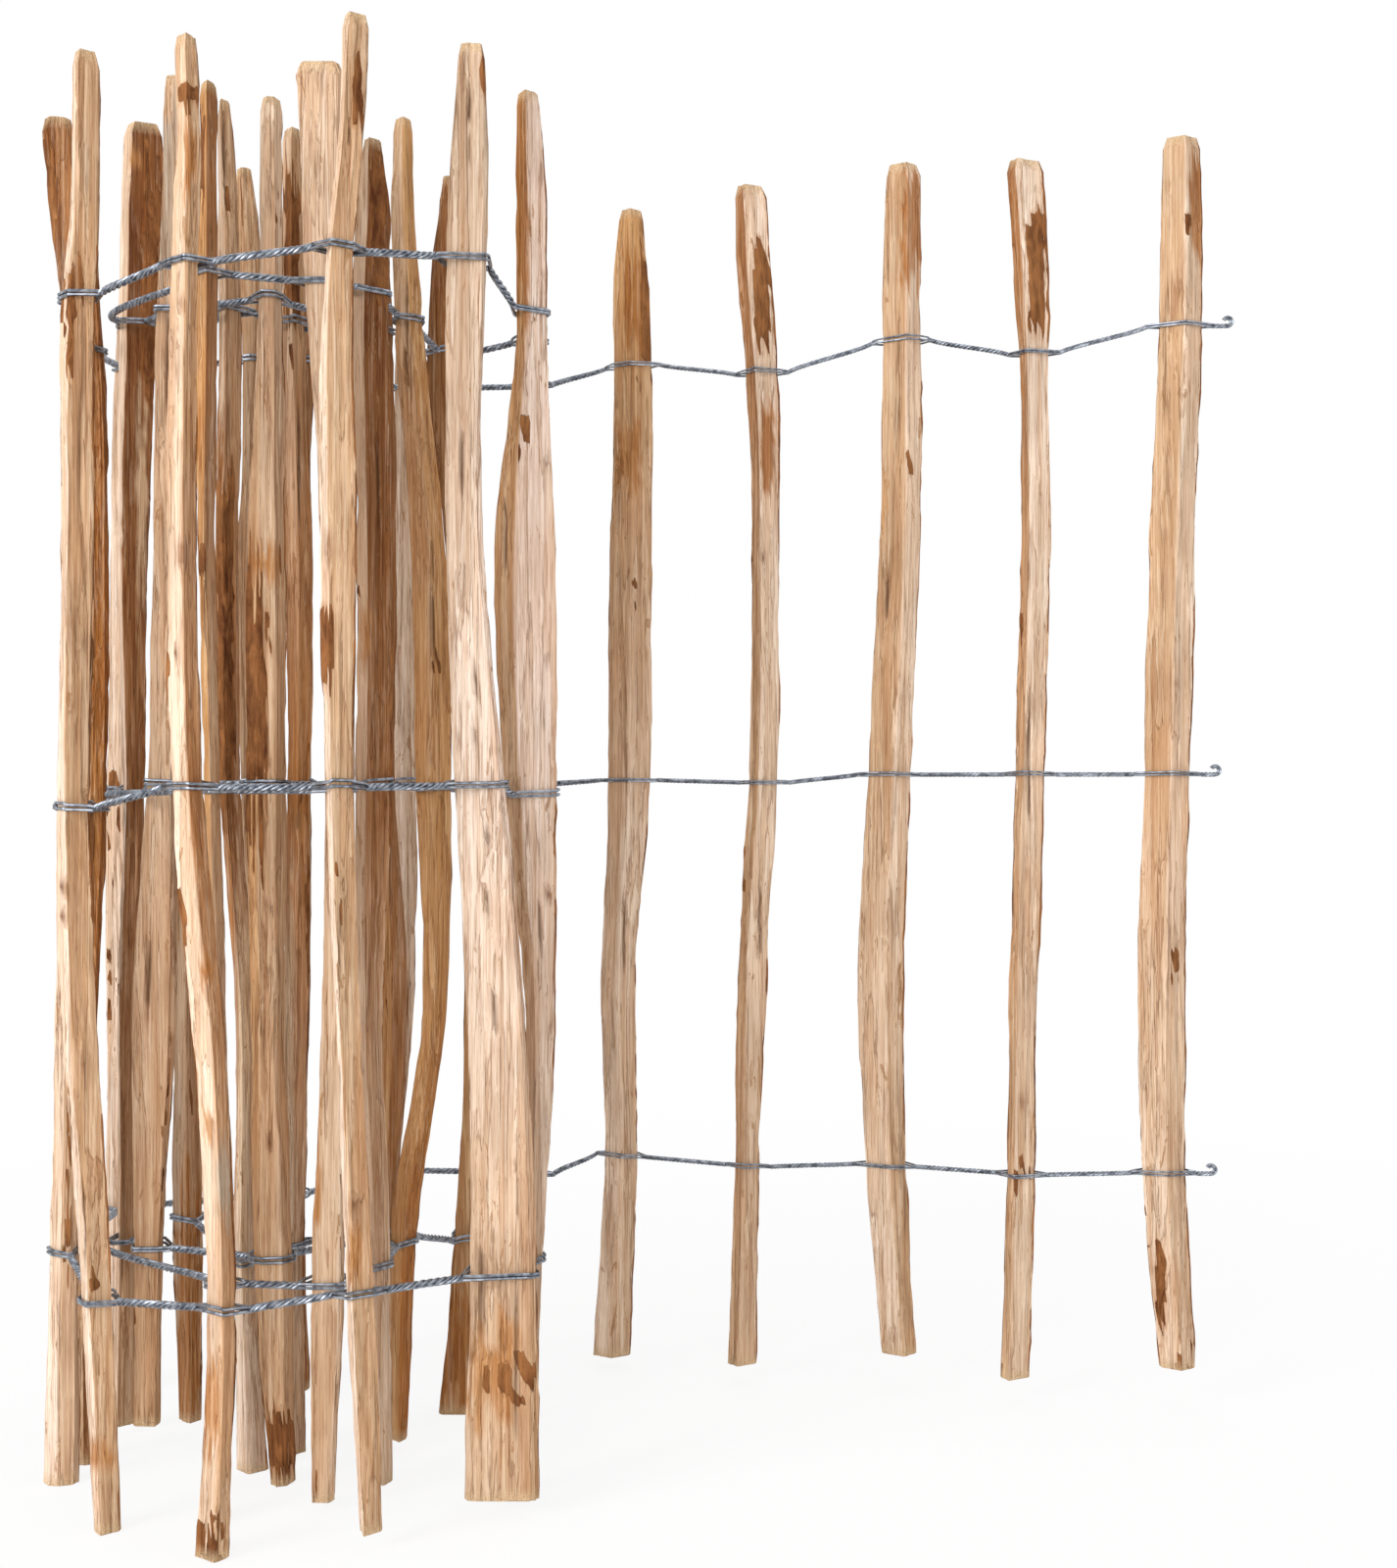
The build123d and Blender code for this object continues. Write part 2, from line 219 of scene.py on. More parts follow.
# Marks on the stakes where the photograph shows them, by the pixels of their edges
Mark = namedtuple("Mark", "kind left right top bottom")
MARKS = {
    "stake_01": [
        Mark("crack", 1173, 1176, 439, 506), Mark("orange", 1213, 1228, 172, 258),
        Mark("bark", 1180, 1190, 1265, 1340), Mark("knot", 1198, 1204, 690, 702),
    ],
    "stake_02": [
        Mark("bark", 1048, 1068, 205, 338), Mark("crack", 1050, 1053, 700, 860),
        Mark("knot", 1040, 1047, 1120, 1132),
    ],
    "stake_03": [
        Mark("orange", 922, 942, 180, 285), Mark("crack", 903, 906, 560, 640),
        Mark("knot", 905, 911, 1010, 1022), Mark("notch", 896, 906, 470, 545),
    ],
    "stake_04": [
        Mark("bark", 768, 787, 238, 352), Mark("orange", 776, 790, 420, 500),
        Mark("crack", 775, 778, 880, 990), Mark("knot", 776, 782, 560, 572),
    ],
    "stake_05": [
        Mark("bark", 654, 668, 262, 375), Mark("orange", 636, 656, 262, 350),
        Mark("crack", 636, 639, 900, 1010), Mark("torn", 626, 656, 432, 500),
        Mark("notch", 620, 632, 470, 505),
    ],
    "stake_11": [
        Mark("bark", 88, 97, 460, 560), Mark("bark", 90, 97, 820, 900), Mark("orange", 92, 112, 560, 800),
    ],
    "stake_12": [
        Mark("bark", 43, 58, 121, 330), Mark("crack", 66, 69, 330, 430), Mark("knot", 60, 66, 1010, 1020),
    ],
    "stake_13": [
        Mark("bark", 68, 75, 280, 375), Mark("knot", 60, 70, 900, 912), Mark("knot", 61, 69, 928, 940),
        Mark("knot", 80, 88, 1075, 1105), Mark("crack", 67, 70, 1100, 1200),
        Mark("crack", 84, 87, 1200, 1300), Mark("torn", 85, 120, 1470, 1500),
        Mark("crack", 82, 85, 420, 560),
    ],
    "stake_14": [
        Mark("bark", 182, 205, 85, 110), Mark("knot", 182, 190, 308, 322),
        Mark("knot", 180, 195, 545, 587), Mark("knot", 178, 184, 655, 680),
        Mark("orange", 203, 218, 975, 1005), Mark("torn", 205, 218, 1130, 1165),
        Mark("grey", 220, 240, 1160, 1250), Mark("torn", 205, 225, 1385, 1480),
        Mark("orange", 186, 200, 120, 200),
    ],
    "stake_15": [
        Mark("bark", 360, 372, 60, 125), Mark("crack", 357, 360, 120, 150),
        Mark("crack", 363, 366, 220, 290), Mark("crack", 346, 349, 920, 1010),
        Mark("knot", 330, 340, 540, 575), Mark("bark", 326, 342, 620, 700),
        Mark("knot", 352, 370, 1215, 1250), Mark("torn", 352, 370, 1250, 1310),
    ],
    "stake_16": [
        Mark("crack", 477, 480, 80, 130), Mark("bark", 488, 497, 46, 100),
        Mark("crack", 503, 506, 1000, 1080), Mark("crack", 526, 529, 1220, 1520),
        Mark("torn", 475, 530, 1355, 1450), Mark("crack", 484, 487, 640, 780),
        Mark("crack", 496, 499, 820, 960), Mark("crack", 512, 515, 1120, 1230),
        Mark("crack", 490, 493, 1250, 1400), Mark("crack", 470, 473, 420, 520),
    ],
    "stake_17": [
        Mark("crack", 514, 517, 500, 600), Mark("crack", 550, 553, 900, 1020),
        Mark("knot", 555, 565, 908, 922), Mark("orange", 527, 540, 110, 330),
        Mark("orange", 526, 536, 1150, 1500),
    ],
    "stake_19": [Mark("orange", 450, 480, 1320, 1440), Mark("bark", 455, 466, 190, 300)],
    "stake_20": [
        Mark("knot", 437, 445, 762, 778), Mark("knot", 413, 421, 1188, 1202),
        Mark("crack", 413, 416, 240, 420), Mark("crack", 440, 443, 520, 700),
    ],
    "stake_21": [
        Mark("bark", 376, 396, 150, 300), Mark("crack", 384, 387, 420, 640),
        Mark("torn", 366, 380, 620, 680),
    ],
    "stake_22": [
        Mark("crack", 336, 339, 225, 330), Mark("crack", 348, 351, 320, 370),
        Mark("orange", 321, 327, 1090, 1260), Mark("crack", 322, 325, 110, 190),
        Mark("crack", 345, 348, 900, 1010),
    ],
    "stake_23": [
        Mark("bark", 203, 210, 117, 214), Mark("orange", 198, 205, 420, 480),
        Mark("crack", 209, 212, 560, 700),
    ],
    "stake_24": [
        Mark("torn", 129, 145, 150, 170), Mark("bark", 145, 166, 166, 400),
        Mark("knot", 123, 131, 525, 537), Mark("knot", 121, 129, 559, 571),
        Mark("pale", 139, 150, 420, 620),
    ],
    "stake_25": [
        Mark("grey", 163, 186, 100, 300), Mark("crack", 170, 173, 300, 460),
        Mark("crack", 150, 153, 900, 1050),
    ],
    "stake_26": [
        Mark("torn", 244, 291, 558, 592), Mark("bark", 241, 276, 580, 850),
        Mark("knot", 279, 287, 912, 928), Mark("knot", 268, 276, 993, 1007),
        Mark("knot", 271, 279, 1158, 1172), Mark("bark", 266, 300, 1440, 1510),
    ],
    "stake_28": [
        Mark("bark", 288, 307, 180, 330), Mark("bark", 312, 319, 880, 1000),
        Mark("pale", 283, 300, 900, 1300), Mark("crack", 304, 307, 400, 560),
    ],
    "stake_29": [
        # The bark mark on the middle of stake_29 is painted shade: the stake is dark there from the shade
        # inside the roll, and it is drawn as bark with its relief
        Mark("crack", 228, 231, 110, 230), Mark("bark", 218, 240, 440, 840),
        Mark("torn", 222, 239, 880, 1160), Mark("pale", 241, 258, 850, 1350),
    ],
    "stake_30": [Mark("bark", 182, 202, 150, 520), Mark("orange", 180, 206, 1200, 1463)],
}


# Shader maths

class Socket:
    """A shader socket with arithmetic."""

    def __init__(self, tree, socket):
        self.tree = tree
        self.socket = socket

    def math(self, operation, first, second):
        return self.tree.node("ShaderNodeMath", {"operation": operation}, [first, second])

    def __add__(self, other):
        return self.math("ADD", self, other)

    def __sub__(self, other):
        return self.math("SUBTRACT", self, other)

    def __rsub__(self, other):
        return self.math("SUBTRACT", other, self)

    def __mul__(self, other):
        return self.math("MULTIPLY", self, other)

    __radd__ = __add__
    __rmul__ = __mul__


class Tree:
    """The node tree of one material, with a way to add any node."""

    def __init__(self, name):
        self.material = bpy.data.materials.new(name)
        self.material.use_nodes = True
        self.nodes = self.material.node_tree.nodes
        self.links = self.material.node_tree.links
        self.nodes.clear()

    def node(self, kind, settings=None, inputs=(), output=0):
        made = self.nodes.new(kind)
        for name, value in (settings or {}).items():
            if name == "stops":
                self.set_stops(made.color_ramp, value)
            else:
                setattr(made, name, value)
        pairs = inputs.items() if isinstance(inputs, dict) else enumerate(inputs)
        for name, value in pairs:
            if isinstance(value, Socket):
                self.links.new(value.socket, made.inputs[name])
            else:
                made.inputs[name].default_value = value
        return Socket(self, made.outputs[output])

    def set_stops(self, ramp, stops):
        while len(ramp.elements) < len(stops):
            ramp.elements.new(0.5)
        for element, (place, level) in zip(ramp.elements, stops):
            element.position = place
            element.color = (level, level, level, 1)

    def ramp(self, value, *stops):
        return self.node("ShaderNodeValToRGB", {"stops": stops}, [value])

    def mix(self, share, first, second, blend="MIX"):
        settings = {"data_type": "RGBA", "blend_type": blend}
        colours = [(*c, 1) if isinstance(c, tuple) else c for c in (first, second)]
        return self.node("ShaderNodeMix", settings, {0: share, 6: colours[0], 7: colours[1]}, output=2)

    def shade(self, share, colour, factor):
        """A colour multiplied by another where the share is high."""
        return self.mix(share, colour, factor, "MULTIPLY")

    def grained(self, length):
        """The object's own coordinates, squeezed along the grain."""
        place = self.node("ShaderNodeTexCoord", output=3)
        return self.node("ShaderNodeVectorMath", {"operation": "MULTIPLY"}, [place, (1.0, 1.0, length)])

    def noise(self, vector, scale, detail, roughness, distortion=0.0):
        inputs = {"Vector": vector, "Scale": scale, "Detail": detail, "Roughness": roughness,
                  "Distortion": distortion}
        return self.node("ShaderNodeTexNoise", {}, inputs)

    def attribute(self, name, output=2):
        return self.node("ShaderNodeAttribute", {"attribute_name": name}, output=output)

    def finish(self, shader):
        out = self.nodes.new("ShaderNodeOutputMaterial")
        self.links.new(shader.socket, out.inputs["Surface"])
        return self.material


def split_wood():
    """Split hazel: long pale and dark fibres on the tone of each face, which carries painted light and
    shade, bark, cracks darkened with painted shade, and end grain.
    """
    tree = Tree("split_hazel")
    crack = tree.attribute("crack")
    cut = tree.attribute("cut")

    # Grain, from single hairs up to broad clouds
    hairs = tree.noise(tree.grained(0.014), 1500.0, 3.0, 0.6, 0.3)
    fibres = tree.noise(tree.grained(0.022), 620.0, 5.0, 0.62, 0.25)
    streaks = tree.noise(tree.grained(0.012), 190.0, 4.0, 0.6, 0.4)
    clouds = tree.noise(tree.grained(0.35), 22.0, 3.0, 0.55, 0.3)
    layers = tree.noise(tree.grained(0.035), 105.0, 5.0, 0.58, 0.9)
    flakes = tree.ramp(layers, (0.49, 0.0), (0.51, 1.0))
    torn_edges = tree.ramp(layers, (0.480, 0.0), (0.495, 0.55), (0.515, 0.0))
    # The tone of each face, with painted light and shade in it
    colour = tree.attribute("tone", output=0)
    colour = tree.shade(tree.ramp(fibres, (0.34, 0.50), (0.58, 0.0)), colour, FIBRE_SHADE)
    colour = tree.mix(tree.ramp(fibres, (0.52, 0.0), (0.78, 0.34)), colour, PALE_FIBRE)
    colour = tree.shade(tree.ramp(hairs, (0.34, 0.60), (0.50, 0.0)), colour, HAIR_SHADE)
    colour = tree.shade(tree.ramp(streaks, (0.30, 0.48), (0.50, 0.0)), colour, STREAK_SHADE)
    colour = tree.mix(tree.ramp(streaks, (0.56, 0.0), (0.80, 0.30)), colour, PALE_STREAK)
    colour = tree.shade(flakes * 0.5, colour, FLAKE_SHADE)
    colour = tree.shade(torn_edges, colour, TORN_SHADE)
    colour = tree.shade(tree.ramp(clouds, (0.34, 0.35), (0.54, 0.0)), colour, CLOUD_SHADE)

    # Specks, and the larger brown flecks that small twigs leave
    specks = tree.noise(tree.grained(0.25), 420.0, 3.0, 0.7)
    colour = tree.mix(tree.ramp(specks, (0.67, 0.0), (0.75, 0.35)), colour, SPECK)
    flecks = tree.noise(tree.grained(0.17), 120.0, 5.0, 0.68, 1.4)
    colour = tree.mix(tree.ramp(flecks, (0.625, 0.0), (0.645, 0.85), (0.70, 0.6)), colour, FLECK)

    # Bark with a ragged rim
    plates = tree.noise(tree.grained(0.30), 150.0, 5.0, 0.65, 0.6)
    bark_colour = tree.mix(tree.ramp(plates, (0.36, 0.0), (0.66, 1.0)), DARK_BARK, LIGHT_BARK)
    bark_colour = tree.mix(tree.ramp(clouds, (0.52, 0.0), (0.74, 0.5)), bark_colour, GOLDEN_BARK)
    ragged = tree.ramp(tree.attribute("bark") + (plates - 0.5) * 1.1, (0.46, 0.0), (0.52, 1.0))
    colour = tree.mix(ragged, colour, bark_colour)

    # Sawn ends, and cracks darkened with painted shade inside the split, as well as the knots' own dark
    # centres
    pores = tree.node("ShaderNodeTexVoronoi", {}, {"Vector": tree.grained(1.0), "Scale": 900.0})
    end_grain = tree.mix(tree.ramp(pores, (0.1, 0.0), (0.6, 1.0)), DARK_END, PALE_END)
    colour = tree.mix(cut * 0.75, colour, end_grain)
    colour = tree.mix(tree.ramp(crack, (0.30, 0.0), (0.9, 0.85)), colour, CRACK_SHADE)

    relief = fibres * 0.5 + streaks * 0.4 + hairs * 0.3 + flakes * 0.5 + ragged * plates * 1.6 - crack
    bump = tree.node("ShaderNodeBump", {}, {"Strength": 0.9, "Distance": 0.0012, "Height": relief})
    shader = tree.node("ShaderNodeBsdfPrincipled", {}, {
        "Base Color": colour,
        "Roughness": tree.ramp(fibres, (0.3, 0.66), (0.7, 0.86)),
        "Specular IOR Level": 0.10,
        "Normal": bump,
    })
    return tree.finish(shader)


def galvanised_wire():
    """Drawn steel wire with a zinc coat, bright in places and dull in others."""
    tree = Tree("galvanised_wire")
    patches = tree.noise(tree.grained(1.0), 240.0, 4.0, 0.6)
    drawn = tree.noise(tree.grained(1.0), 1800.0, 2.0, 0.5)
    colour = tree.mix(tree.ramp(patches, (0.36, 0.0), (0.66, 1.0)), DULL_ZINC, BRIGHT_ZINC)
    relief = patches + drawn * 0.5
    bump = tree.node("ShaderNodeBump", {}, {"Strength": 0.25, "Distance": 0.0002, "Height": relief})
    shader = tree.node("ShaderNodeBsdfPrincipled", {}, {
        "Base Color": colour,
        "Metallic": 0.9,
        "Roughness": tree.ramp(patches, (0.35, 0.30), (0.70, 0.48)),
        "Normal": bump,
    })
    return tree.finish(shader)


# Stakes

def stake_template():
    """A cylinder with a column for each fibre of a face, cut into rows, with its two ends inset."""
    bpy.ops.object.select_all(action="DESELECT")
    bpy.ops.mesh.primitive_cylinder_add(vertices=COLUMNS, radius=1, depth=1)
    template = bpy.context.object
    bpy.ops.object.mode_set(mode="EDIT")
    bpy.ops.mesh.select_mode(type="EDGE")
    bpy.ops.mesh.select_all(action="DESELECT")
    mesh = bmesh.from_edit_mesh(template.data)
    for edge in mesh.edges:
        low, high = sorted(vertex.co.z for vertex in edge.verts)
        edge.select = high - low > 0.5
    bmesh.update_edit_mesh(template.data)
    bpy.ops.mesh.subdivide(number_cuts=STAKE_ROWS - 1)
    bpy.ops.mesh.select_mode(type="FACE")
    for inset in (0.1, 0.35):
        select_ends(template)
        bpy.ops.mesh.inset(thickness=inset)
    select_ends(template)
    bpy.ops.mesh.poke()
    bpy.ops.object.mode_set(mode="OBJECT")
    return template


def select_ends(template):
    """Selects the innermost face at each end."""
    bpy.ops.mesh.select_all(action="DESELECT")
    mesh = bmesh.from_edit_mesh(template.data)
    for face in mesh.faces:
        face.select = len(face.verts) == COLUMNS
    bmesh.update_edit_mesh(template.data)


def stations(node):
    """The heights of a stake's sections, and its corners at each, from the left one round the front."""
    points = np.array([vertex.co for vertex in node.data.vertices], float)
    levels = []
    for height in sorted(set(np.round(points[:, 2], 4))):
        if not levels or height - levels[-1] > SAME_LEVEL:
            levels.append(height)
    rings = []
    for level in levels:
        ring = np.unique(np.round(points[abs(points[:, 2] - level) < SAME_LEVEL][:, :2], 4), axis=0)
        spread = ring - ring.mean(0)
        ring = ring[np.argsort(np.arctan2(spread[:, 1], spread[:, 0]))]
        rings.append(np.roll(ring, -int(ring[:, 0].argmin()), axis=0)[:CORNERS])
    return np.array(levels), np.array(rings)


def smooth_through(levels, rings, heights):
    """Corners at any height, on a smooth curve through the stations."""
    slopes = np.gradient(rings, levels, axis=0)
    place = np.clip(np.searchsorted(levels, heights) - 1, 0, len(levels) - 2)
    gap = (levels[place + 1] - levels[place])[:, None, None]
    t = ((heights - levels[place]) / gap[:, 0, 0])[:, None, None]
    near, far = rings[place], rings[place + 1]
    return ((2 * t ** 3 - 3 * t ** 2 + 1) * near + (t ** 3 - 2 * t ** 2 + t) * gap * slopes[place]
            + (3 * t ** 2 - 2 * t ** 3) * far + (t ** 3 - t ** 2) * gap * slopes[place + 1])


def widen_head(name, rings):
    """Spreads the section below the head to the edges that the photograph shows."""
    if name in HEAD_EDGES:
        section = rings[-2]
        left, right = section[:, 0].min(), section[:, 0].max()
        away = section[:, 1].mean() - EYE[1]
        new_left, new_right = (EYE[0] + (u - PHOTO_WIDTH / 2) * away / FOCAL_PIXELS
                               for u in HEAD_EDGES[name])
        section[:, 0] = new_left + (section[:, 0] - left) * (new_right - new_left) / (right - left)


def ease(x):
    x = np.clip(x, 0, 1)
    return x * x * (3 - 2 * x)


def in_photo(points):
    """Where points of the fence are in the photograph, in its pixels."""
    away = points - np.array(EYE)
    return (PHOTO_WIDTH / 2 + FOCAL_PIXELS * away[:, 0] / away[:, 1],
            PHOTO_HEIGHT / 2 - FOCAL_PIXELS * away[:, 2] / away[:, 1])


def tone_at(names, height):
    """A face's colour at a share of its height, from its tones at the foot, middle and head."""
    stops = np.array([TONES[name] for name in names])
    return np.stack([np.interp(height, (0.1, 0.5, 0.92), stops[:, c]) for c in range(3)], axis=1)


def outward_of(run):
    """The way out of a face, from the run between its corners."""
    out = np.stack([run[:, 1], -run[:, 0]], axis=1)
    return out / np.hypot(out[:, 0], out[:, 1])[:, None]


class Shell:
    """The surface of one stake: where each point of the template goes, and which way is out."""

    def __init__(self, name, piece, levels, rings):
        self.random = np.random.default_rng(int(name[-2:]) * 7 + 1)
        local = np.empty(len(piece.data.vertices) * 3)
        piece.data.vertices.foreach_get("co", local)
        local = local.reshape(-1, 3)
        self.along = np.clip(local[:, 2] + 0.5, 0, 1)
        self.radius = np.hypot(local[:, 0], local[:, 1])
        turn = (np.arctan2(local[:, 1], local[:, 0]) / (2 * math.pi)) % 1.0
        self.side = np.round(turn * COLUMNS).astype(int) % COLUMNS
        self.around = np.where(self.radius > 0.01, self.side / COLUMNS, 0)
        self.foot, self.head = levels[0], levels[-1]
        self.height = self.foot + (self.head - self.foot) * self.along

        # The last station is the tapered head, so the curve passes through the others
        corners = smooth_through(levels[:-1], rings[:-1], np.minimum(self.height, levels[-2]))
        taper = ease((self.height - (self.head - HEAD_CHAMFER)) / HEAD_CHAMFER * 0.8) / ease(0.8)
        self.middle = corners.mean(1)
        middle = self.middle[:, None]
        corners = middle + (corners - middle) * (1 - (1 - HEAD_TAPER) * taper)[:, None, None]

        corner = self.side // FACE_COLUMNS
        share = self.side % FACE_COLUMNS / FACE_COLUMNS
        index = np.arange(len(self.along))
        near = corners[index, corner]
        run = corners[index, (corner + 1) % CORNERS] - near
        run_before = near - corners[index, (corner - 1) % CORNERS]
        self.plan = near + run * share[:, None]
        self.outward = outward_of(run)
        before = outward_of(run_before)
        at_corner = share == 0
        push = np.where(at_corner[:, None], self.outward + before, self.outward)
        self.push = push / np.hypot(push[:, 0], push[:, 1])[:, None]
        self.seen = (self.outward[:, 1] < 0.25) | (at_corner & (before[:, 1] < 0.25))
        self.u, self.v = in_photo(np.column_stack([self.plan, self.height]))

    def field(self, columns, rows, along=None):
        """Smooth random values from -1 to 1, joined up round the stake."""
        grid = self.random.uniform(-1, 1, (rows + 2, columns))
        a = self.around * columns
        b = (self.along if along is None else along) * rows
        i = np.floor(a).astype(int)
        j = np.floor(b).astype(int)
        u = ease(a - i)
        v = ease(b - j)
        i, following = i % columns, (i + 1) % columns
        low = grid[j, i] * (1 - u) + grid[j, following] * u
        high = grid[j + 1, i] * (1 - u) + grid[j + 1, following] * u
        return low * (1 - v) + high * v

    def mask(self, mark, jag, tongues):
        """How much of a mark each point has."""
        wide = max((mark.right - mark.left) / 2, THINNEST_MARK)
        tall = (mark.bottom - mark.top) / 2
        reach_u = abs(self.u - (mark.left + mark.right) / 2) / wide
        reach_v = abs(self.v - (mark.top + mark.bottom) / 2) / tall
        if mark.kind == "knot":
            return np.exp(-1.6 * (reach_u ** 2 + reach_v ** 2)) * self.seen
        if mark.kind == "crack":
            return ease(1.4 - reach_u) * ease((1.0 - reach_v + 0.2 * jag) * 2) * self.seen
        sharp = 3 if mark.kind == "orange" else 1
        return (ease((1.0 - reach_u + 0.5 * jag) * 3 * sharp) * self.seen
                * ease((1.0 - reach_v + 0.45 * tongues + 0.2 * jag) * 6 * sharp))

    def splits(self):
        """Long thin splits that follow the grain."""
        crack = np.zeros(len(self.along))
        for number in range(SPLITS):
            place = self.random.uniform(0, 1)
            start, end = sorted(self.random.uniform(0.03, 0.97, 2))
            end = min(end, start + LONGEST_SPLIT)
            column = np.round((place + 0.012 * np.sin(self.along * 9 + number)) * CORNERS * FACE_COLUMNS)
            on_split = (self.side == column % COLUMNS) & (self.along > start) & (self.along < end)
            depth = np.sin(np.clip((self.along - start) / (end - start), 0, 1) * math.pi)
            crack = np.maximum(crack, np.where(on_split, 0.45 * depth, 0))
        return crack

    def shaped(self, relief):
        """The points with their relief, and the cut ends flat across with a slightly ragged edge."""
        on_end = self.radius < 0.999
        across = self.middle + (self.plan - self.middle) * self.radius[:, None]
        plan = np.where(on_end[:, None], across, self.plan + self.push * relief[:, None])
        ragged = END_RAGGEDNESS * (0.5 + 0.5 * self.field(24, 2, np.full(len(self.along), 0.5)))
        at_head = self.along > 0.9999
        at_foot = self.along < 0.0001
        height = np.where(at_head & ~on_end, self.head - ragged, self.height)
        height = np.where(at_foot & ~on_end, self.foot + ragged, height)
        height = np.where(at_head & on_end, self.head - END_DISH * (1 - self.radius), height)
        return np.column_stack([plan, height]), on_end | at_head | at_foot


def make_stake(name, template, wood):
    levels, rings = stations(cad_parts[name])
    widen_head(name, rings)
    piece = template.copy()
    piece.data = template.data.copy()
    piece.name = f"split_{name}"
    bpy.context.collection.objects.link(piece)
    shell = Shell(name, piece, levels, rings)
    jag = shell.field(24, 160) * 0.5 + shell.field(48, 60) * 0.35
    tongues = shell.field(COLUMNS, 12)

    # Back faces keep much of their bark, with bare strips
    patchy = shell.field(6, 9) + 0.5 * shell.field(12, 30) + 0.35 * jag
    back = ease((shell.outward[:, 1] - 0.15) * 4)
    bark = back * ease((patchy + 0.08) * 3)
    stray = shell.field(5, 12) + 0.4 * jag
    bark = np.maximum(bark, 0.9 * ease((stray - 0.86) * 8))

    # Each face takes the tones of its side, which carry painted light and shade as well as the wood's own
    # colour
    left, right = (tone_at(names, shell.along) for names in FACE_TONES_AND_PAINTED_LIGHT[name])
    left_share = ease(0.5 - shell.outward[:, 0] * 3)[:, None]
    tone = left * left_share + right * (1 - left_share)
    tone *= (1 + 0.10 * shell.field(12, 24))[:, None]
    back_tone = np.array(TONES["tan"]) * 0.5 + tone * 0.5
    tone = tone * (1 - back)[:, None] + back_tone * back[:, None]

    relief = ARRIS_WANDER * (0.75 * shell.field(CORNERS, 16) + 0.35 * shell.field(CORNERS * 2, 70))
    relief += FIBRE_DEPTH * shell.field(COLUMNS, 9)
    relief += 0.5 * FIBRE_DEPTH * shell.field(COLUMNS, 60)
    relief -= CHIP_DEPTH * ease((shell.field(18, 26) - 0.62) * 6)
    crack = shell.splits()
    knot = np.zeros(len(crack))

    for mark in MARKS.get(name, []):
        mask = shell.mask(mark, jag, tongues)
        if mark.kind == "knot":
            knot = np.maximum(knot, mask)
        elif mark.kind == "crack":
            # The split is dented in, and darkened with painted shade
            crack = np.maximum(crack, 0.8 * mask)
        elif mark.kind == "bark":
            bark = np.maximum(bark, mask)
        elif mark.kind == "notch":
            # The notch is cut in, and the notch tone paints the shade in it
            relief -= NOTCH_DEPTH * mask
        elif mark.kind == "torn":
            relief += TORN_HEIGHT * jag * mask - TORN_DEPTH * mask
            # The crevices of torn spots take painted shade through the crack layer
            crack = np.maximum(crack, 0.32 * ease((jag - 0.35) * 3) * mask)
        strength = ((0.3 if mark.kind == "crack" else 0.85) * mask)[:, None]
        tone = tone * (1 - strength) + np.array(MARK_TONES[mark.kind]) * strength

    relief += BARK_THICKNESS * bark * (0.6 + 0.5 * jag)
    relief += KNOT_HEIGHT * knot - CRACK_DEPTH * crack * (1 - knot)

    # Nothing stands out under the wires
    from_wire = np.min(abs(shell.height[:, None] - levels[list(ROW_STATIONS)]), axis=1)
    relief = np.where(relief > 0, relief * ease((from_wire - WIRE_BARE) / WIRE_ZONE), relief)

    points, cut = shell.shaped(relief)
    piece.data.vertices.foreach_set("co", points.ravel())
    piece.data.update()
    store(piece, "bark", bark)
    # The crack layer holds painted shade in splits and torn crevices, and the knots' own dark centres
    store(piece, "crack", np.maximum(crack, 0.8 * knot ** 3))
    store(piece, "cut", np.where(cut, 1.0, 0.0))
    colours = piece.data.attributes.new("tone", "FLOAT_COLOR", "POINT")
    tone = np.clip(np.column_stack([tone, np.ones(len(tone))]), 0, 1)
    colours.data.foreach_set("color", tone.ravel())
    dress(piece, wood, 32)
    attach(piece, "root")
    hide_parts(name)
    return levels, rings


def store(piece, name, values):
    layer = piece.data.attributes.new(name, "FLOAT", "POINT")
    layer.data.foreach_set("value", values)


def dress(piece, material, smooth_angle):
    """Smooths a piece's gentle edges and gives it its only material."""
    bpy.ops.object.select_all(action="DESELECT")
    bpy.context.view_layer.objects.active = piece
    piece.select_set(True)
    bpy.ops.object.shade_smooth_by_angle(angle=math.radians(smooth_angle))
    piece.data.materials.clear()
    piece.data.materials.append(material)


# Strands

def unit(angle):
    return np.array([math.cos(math.radians(angle)), math.sin(math.radians(angle))])


def left_of(ahead):
    return np.array([-ahead[1], ahead[0]])


def heading(start, end):
    return math.degrees(math.atan2(end[1] - start[1], end[0] - start[0]))


def box_centre(points):
    return (points.min(0) + points.max(0)) / 2


def hull(points):
    """The corners of the outline round the points, anticlockwise."""
    points = sorted({(round(float(x), 7), round(float(y), 7)) for x, y in points})
    outline = []
    for ordered in (points, points[::-1]):
        chain = []
        for p in ordered:
            while len(chain) > 1 and ((chain[-1][0] - chain[-2][0]) * (p[1] - chain[-2][1])
                                      <= (chain[-1][1] - chain[-2][1]) * (p[0] - chain[-2][0])):
                chain.pop()
            chain.append(p)
        outline += chain[:-1]
    return [np.array(p) for p in outline]


def spread_out(outline, distance):
    """Points at a distance round an outline, with its corners rounded."""
    points = []
    for before, here, after in zip(outline[-1:] + outline[:-1], outline, outline[1:] + outline[:1]):
        first = heading(before, here) - 90
        turn = (heading(here, after) - 90 - first) % 360
        points += [here + unit(first + turn * step / 4) * distance for step in range(5)]
    return points


def nearest(outline, point):
    """The place in an outline of its corner nearest a point."""
    return min(range(len(outline)), key=lambda k: np.hypot(*(outline[k] - point)))


